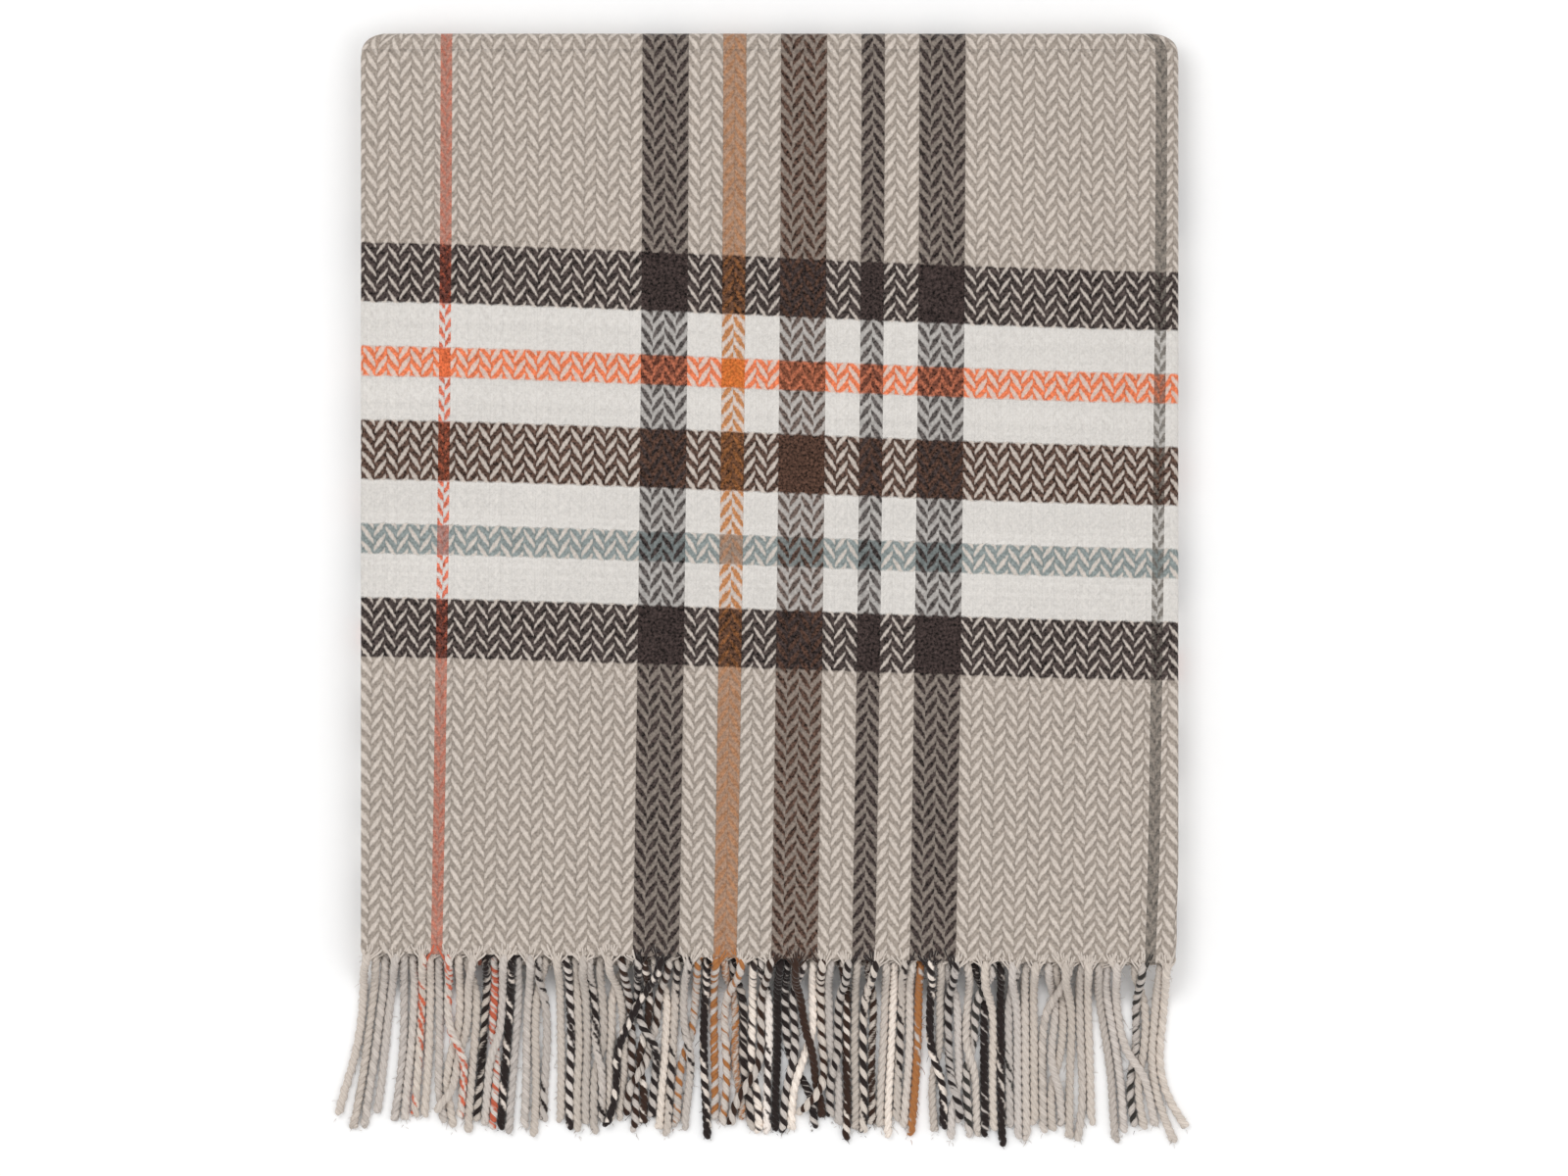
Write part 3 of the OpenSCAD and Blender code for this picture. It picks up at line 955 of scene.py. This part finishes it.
    # Wool's nap blurs what crosses: pale on pale hardly shows, and pale yarns look thinner between dark ones.
    warp_light = n.node("ShaderNodeSeparateXYZ", {0: warp}).outputs[1]
    weft_light = n.node("ShaderNodeSeparateXYZ", {0: weft}).outputs[1]
    white_weft = n.step(weft_light, WHITE[1] - 0.15, WHITE[1] - 0.05)
    pale = n.math("MULTIPLY", white_weft, n.step(warp_light, CREAM[1] - 0.1, CREAM[1] - 0.05))
    warp = n.mix(n.math("MULTIPLY", pale, 0.93), warp, weft)
    bright = n.math("MULTIPLY", lively, white_weft)
    orange_low, orange_high, _ = next(band for band in WEFT_BANDS if band[2] == ORANGE)
    orange_weft = n.between(in_bands, orange_low, orange_high)
    brown_low, brown_high, _ = next(band for band in WEFT_BANDS if band[2] == BROWN)
    brown_weft = n.between(in_bands, brown_low, brown_high)
    warp = n.mix(n.math("MULTIPLY", orange_weft, 0.13), warp, weft)
    over_dark = n.math("MULTIPLY", orange_weft, n.math("SUBTRACT", 1, n.step(warp_light, 0.05, 0.15)))
    weft = n.mix(n.math("MULTIPLY", over_dark, 0.30), weft, TAUPE)
    hidden = n.math("MULTIPLY", lively, n.math("SUBTRACT", 1, white_weft))
    uneven = n.math("SUBTRACT", n.strongest(weft), n.strongest(warp))
    # The brighter yarn of the two spreads over the other.
    shift = n.math("MULTIPLY", uneven, n.math("ABSOLUTE", uneven))
    shift = n.math("MULTIPLY", shift, n.math("MULTIPLY_ADD", white_weft, -0.76, 1))
    shift = n.math("MULTIPLY", shift, n.math("MULTIPLY_ADD", brown_weft, -0.6, 1))
    shift = n.math("MULTIPLY", shift, n.math("MULTIPLY_ADD", belly, 0.65, 0.35))
    ragged = n.math("ADD", n.math("MULTIPLY", edge_fuzz, 1.6), n.math("MULTIPLY", bright, 0.14))
    shift = n.math("ADD", shift, n.math("MULTIPLY", ragged, lively))
    warp_up = n.step(n.math("ADD", depth, shift), -0.40, 0.40)
    calm = n.math("MULTIPLY", hidden, n.math("MULTIPLY_ADD", steel_line, -0.5, 0.74))
    share = n.math("MULTIPLY_ADD", n.step(weft_light, 0.04, 0.2), 0.35, 0.15)
    warp_up = n.math("ADD", n.math("MULTIPLY", warp_up, n.math("SUBTRACT", 1, calm)),
                     n.math("MULTIPLY", calm, share))
    white_nap = n.math("MULTIPLY_ADD", white_weft, 0.06, 0.04)
    dull_warp = n.math("MINIMUM", n.math("MAXIMUM", n.math("MULTIPLY", uneven, -0.36), white_nap), 0.26)
    most_dull = n.math("MULTIPLY_ADD", orange_weft, 0.12, 0.38)
    dull_weft = n.math("MINIMUM", n.math("MAXIMUM", n.math("MULTIPLY", uneven, 1.4), 0.03), most_dull)
    napped_warp = n.mix(dull_warp, warp, weft)
    napped_weft = n.mix(dull_weft, weft, warp)
    warp = n.scaled(napped_warp, warp_tone)
    weft = n.scaled(napped_weft, weft_tone)
    colour = n.mix(warp_up, weft, warp)
    lightness = n.node("ShaderNodeSeparateXYZ", {0: colour}).outputs[1]
    dark_speckle = n.math("MULTIPLY_ADD", lightness, -24.0, 6.3)
    coarse = n.math("MAXIMUM", dark_speckle, n.math("MULTIPLY_ADD", lightness, -3.2, 2.4))
    coarse = n.math("MAXIMUM", coarse, 0.2)
    speckle = n.math("ADD", 1, n.math("MULTIPLY", n.math("SUBTRACT", fuzz, 0.5), coarse))
    cloud = n.math("MULTIPLY_ADD", n.noise(here, 14, 3), 0.12, 0.94)
    # Painted shade: each line where the legs meet is darkened a little, standing for the faint groove that
    # runs down it. The colour is also a little darker where a lively stripe lies under a darker weft.
    from_centre = n.math("ABSOLUTE", n.math("SUBTRACT", in_leg, WEAVE / 2))
    turn = n.math("ABSOLUTE", n.math("SUBTRACT", from_centre, WEAVE / 2))
    groove_shade_depth = n.math("MULTIPLY_ADD", pale, -0.08, 0.10)
    groove_shade = n.math("MULTIPLY", groove_shade_depth, n.math("SUBTRACT", 1, n.step(turn, 0.0, 0.5)))
    groove_shade = n.math("SUBTRACT", 1, groove_shade)
    groove_shade = n.math("MULTIPLY", groove_shade, n.math("MULTIPLY_ADD", n.math("MULTIPLY", hidden, share), -0.15, 1))
    colour = n.scaled(colour, n.math("MULTIPLY", n.math("MULTIPLY", speckle, cloud), groove_shade))

    height = n.step(n.math("ABSOLUTE", depth), 0.0, 0.9)
    height = n.math("MULTIPLY", height, n.math("MULTIPLY_ADD", pale, -0.5, 1))
    height = n.math("ADD", height, n.math("MULTIPLY", fuzz, 0.55))
    along = n.vector(n.math("MULTIPLY", end, 1.6), n.math("MULTIPLY", pick, 1.1), 2)
    fibres = n.math("MULTIPLY", n.noise(along, 1.0, 4, 0.7), n.math("MULTIPLY_ADD", pale, -0.5, 0.8))
    height = n.math("ADD", height, fibres)
    return n.finish(colour, 0.92, n.bump(height, 0.5 * MM, 0.8), 0.22, 0.4, (1.0, 0.96, 0.92))


def fringe_material():
    """Plied wool: each ply's yarns show as fine slanting ridges, in the bump and as painted shade in the
    grooves between them.
    """
    n = Nodes("twisted_fringe")
    yarn = n.node("ShaderNodeAttribute", {}, attribute_name="yarn").outputs["Color"]
    lay = n.node("ShaderNodeSeparateXYZ",
                 {0: n.node("ShaderNodeAttribute", {}, attribute_name="lay").outputs["Vector"]})
    here = n.node("ShaderNodeTexCoord", {}).outputs["Object"]
    angle = n.math("ARCTAN2", lay.outputs[1], lay.outputs[0])
    ridge = n.math("ABSOLUTE", n.math("SINE", n.math("MULTIPLY", angle, 2.5)))
    fuzz = n.noise(here, 1300, 3, 0.7)
    soft = n.noise(here, 260, 2)
    tone = n.math("MULTIPLY_ADD", lay.outputs[2], 0.12, 0.92)
    # Painted shade: the colour is darker in the grooves between the yarns' ridges.
    tone = n.math("MULTIPLY", tone, n.math("MULTIPLY_ADD", ridge, 0.14, 0.87))
    tone = n.math("MULTIPLY", tone, n.math("MULTIPLY_ADD", fuzz, 0.5, 0.77))
    tone = n.math("MULTIPLY", tone, n.math("MULTIPLY_ADD", soft, 0.2, 0.9))
    height = n.math("ADD", n.math("MULTIPLY", ridge, 0.8), n.math("MULTIPLY", fuzz, 0.6))
    return n.finish(n.scaled(yarn, tone), 0.9, n.bump(height, 0.3 * MM, 0.7), 0.42, 0.4, (1.0, 0.97, 0.95))


def floor_material():
    n = Nodes("studio_floor")
    here = n.node("ShaderNodeTexCoord", {}).outputs["Object"]
    grain = n.noise(here, 120, 3)
    tone = n.math("MULTIPLY_ADD", grain, 0.02, 0.96)
    return n.finish(n.vector(tone, tone, tone), 0.75, n.bump(grain, 0.05 * MM, 0.3), 0.0)


# ---------------------------------------------------------------- the scene

def make_floor():
    """A flat floor that rises gently into a backdrop all round."""
    reach = 12.0
    flat_reach = 6.0
    rise = 1.6
    lines_a_side = 24
    across = np.linspace(-reach, reach, lines_a_side)
    x, y = np.meshgrid(across, across, indexing="ij")
    z = rise * smoothstep((np.hypot(x, y) - flat_reach) / flat_reach)
    points = np.stack([x, y, z], -1).reshape(-1, 3)
    floor = new_object("studio_floor", points, grid_faces(lines_a_side, lines_a_side, 0, True), {})
    floor.data.materials.append(floor_material())


def area_light(name, place, size, power):
    """A round soft light that points at the middle of the floor."""
    light = bpy.data.lights.new(name, "AREA")
    light.shape = "DISK"
    light.size = size
    light.energy = power
    obj = bpy.data.objects.new(name, light)
    obj.location = place
    obj.rotation_euler = (-Vector(place)).to_track_quat("-Z", "Y").to_euler()
    bpy.context.scene.collection.objects.link(obj)


def make_light():
    world = bpy.data.worlds.new("studio")
    world.use_nodes = True
    world.node_tree.nodes["Background"].inputs["Color"].default_value = (1.0, 1.0, 1.0, 1)
    world.node_tree.nodes["Background"].inputs["Strength"].default_value = WORLD_LIGHT
    bpy.context.scene.world = world
    area_light("key", (-1.1, 1.0, 2.9), 1.6, KEY_POWER)
    area_light("fill", (1.3, -0.6, 3.0), 2.2, FILL_POWER)


def make_camera():
    """Straight above the stack, far enough away to show almost no perspective."""
    camera = bpy.data.cameras.new("camera")
    obj = bpy.data.objects.new("camera", camera)
    camera.sensor_width = 36
    camera.lens = camera.sensor_width * (CAMERA_H - STACK_H) / VIEW_W
    camera.clip_end = 60
    obj.location = (VIEW_X, VIEW_Y, CAMERA_H)
    bpy.context.scene.collection.objects.link(obj)
    bpy.context.scene.camera = obj


WORLD_LIGHT = 0.80
KEY_POWER = 24
FILL_POWER = 16
CAMERA_H = 4.2
VIEW_W = 0.880
VIEW_X = 0.008
VIEW_Y = -0.004

thirds = make_thirds()
creases = make_creases()
front = make_fringe("front", "top_third", v_hem=0, seed=21, ring_step=0.8 * MM)
rear = make_fringe("rear", "bottom_third", V_END, seed=37, ring_step=1.1 * MM, ceiling=THIRD + GAP / 2)

wool = cloth_material()
for piece in [p for p, _ in thirds.values()] + creases:
    piece.data.materials.append(wool)
plied = fringe_material()
for piece in front + rear:
    piece.data.materials.append(plied)
for piece in front:
    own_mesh(piece)

make_floor()
make_light()
make_camera()
bpy.context.scene.view_settings.view_transform = "Standard"
